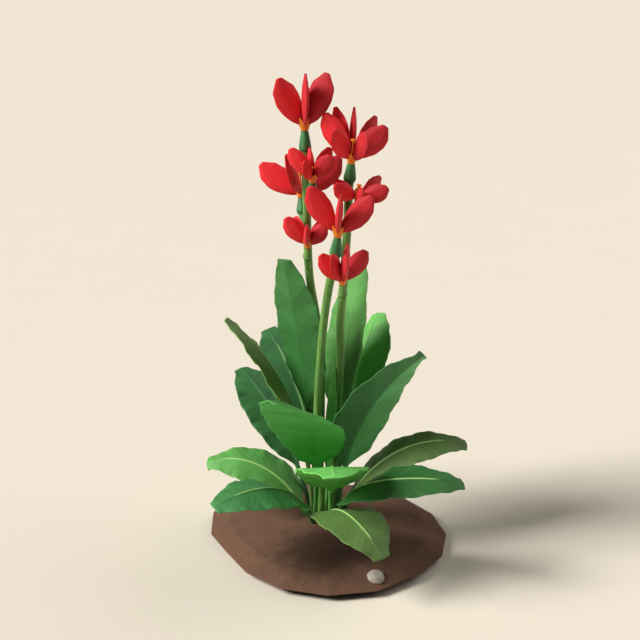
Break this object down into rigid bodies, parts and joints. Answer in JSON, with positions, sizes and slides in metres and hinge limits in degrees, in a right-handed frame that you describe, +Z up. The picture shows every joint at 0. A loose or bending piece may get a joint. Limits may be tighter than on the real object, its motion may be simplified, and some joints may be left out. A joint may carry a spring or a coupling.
{
  "type": "canna lily plant",
  "caption": "Dwarf canna lily in flower: broad upright leaves and stems of red blooms with orange throats, standing in a low mound of soil with a pebble.",
  "frame": {"origin": "middle of the soil mound's flat underside", "axes": "+Z up the plant; the side shown in the picture faces -Y, +X is to the right as seen from there"},
  "size_m": [0.4355, 0.4344, 0.782],
  "materials": {
    "soil": "dull, fine-grained moist soil",
    "pebble": "dull, weathered",
    "leaf": "satin leaf with a pale midrib and fine side veins",
    "stem": "satin, faintly striped lengthways",
    "petal": "soft satin with fine lengthways streaks",
    "throat": "soft satin",
    "ovary": "dull, finely bumpy"
  },
  "bodies": {
    "root": {"soil_mound": "soil", "pebble": "pebble", "leaf_tall_left": "leaf", "leaf_tall_right": "leaf", "leaf_back_left": "leaf", "leaf_narrow_left": "leaf", "leaf_mid_left": "leaf", "leaf_front_left": "leaf", "leaf_back_right": "leaf", "leaf_mid_right": "leaf", "leaf_low_left_upper": "leaf", "leaf_low_left_lower": "leaf", "leaf_front": "leaf", "leaf_front_right": "leaf", "leaf_low_right_upper": "leaf", "leaf_low_right_lower": "leaf", "leaf_young": "leaf", "flower_stem_left": "stem", "flower_stem_right": "stem", "flower_stem_front": "stem", "bloom_1_petals": "petal", "bloom_1_throat": "throat", "bloom_1_ovary": "ovary", "bloom_2_petals": "petal", "bloom_2_throat": "throat", "bloom_2_ovary": "ovary", "bloom_3_petals": "petal", "bloom_3_throat": "throat", "bloom_3_ovary": "ovary", "bloom_4_petals": "petal", "bloom_4_throat": "throat", "bloom_4_ovary": "ovary", "bloom_5_petals": "petal", "bloom_5_throat": "throat", "bloom_5_ovary": "ovary", "bloom_6_petals": "petal", "bloom_6_throat": "throat", "bloom_6_ovary": "ovary", "bloom_7_petals": "petal", "bloom_7_throat": "throat", "bloom_7_ovary": "ovary", "bloom_8_petals": "petal", "bloom_8_throat": "throat", "bloom_8_ovary": "ovary"}
  },
  "joints": []
}
